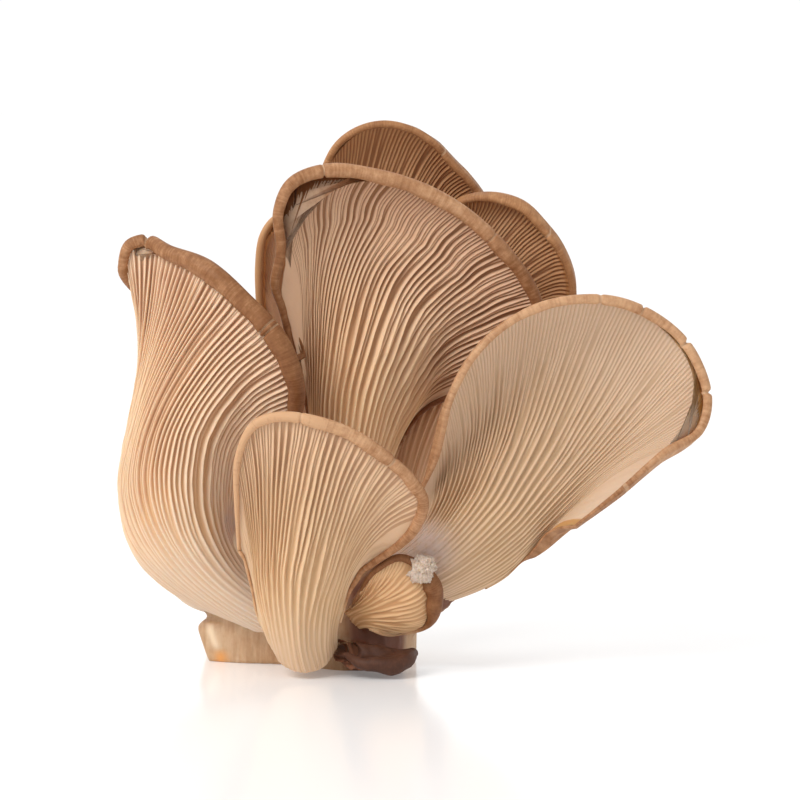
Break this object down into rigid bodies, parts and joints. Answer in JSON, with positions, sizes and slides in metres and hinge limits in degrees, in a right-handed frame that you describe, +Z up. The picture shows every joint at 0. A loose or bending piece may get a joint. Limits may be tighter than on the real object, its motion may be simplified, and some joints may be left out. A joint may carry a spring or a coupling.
{
  "type": "oyster mushroom cluster",
  "caption": "Cluster of oyster mushrooms grown from one cut butt: fans of cream gills under brown caps with rolled margins, standing upright on the flat cut",
  "frame": {"origin": "in the flat cut face below the butt, at ground level, under the front edge of the stems", "axes": "+Z is up, +X to the right as the gills are seen, and -Y is the side that the gills face"},
  "size_m": [0.148, 0.0763, 0.1351],
  "materials": {
    "cap": "soft matt skin, brown with a fine mottle",
    "cap_warm": "soft matt skin, warm orange brown",
    "cap_dark": "soft matt skin, dark reddish brown",
    "gills": "matt cream flesh, slightly translucent",
    "gills_warm": "matt tan flesh, slightly translucent",
    "butt": "matt cream flesh, cut and fibrous"
  },
  "bodies": {
    "root": {"cap_front": "cap", "cap_left": "cap", "cap_centre": "cap", "cap_right": "cap", "cap_top": "cap_warm", "cap_back_right": "cap_warm", "cap_back_left": "cap_warm", "cap_small_side": "cap", "cap_small_low": "cap_dark", "gills_front": "gills", "gills_left": "gills", "gills_centre": "gills", "gills_right": "gills", "gills_top": "gills_warm", "gills_back_right": "gills_warm", "gills_back_left": "gills_warm", "gills_small_side": "gills", "gills_small_low": "gills_warm", "butt": "butt"}
  },
  "joints": []
}
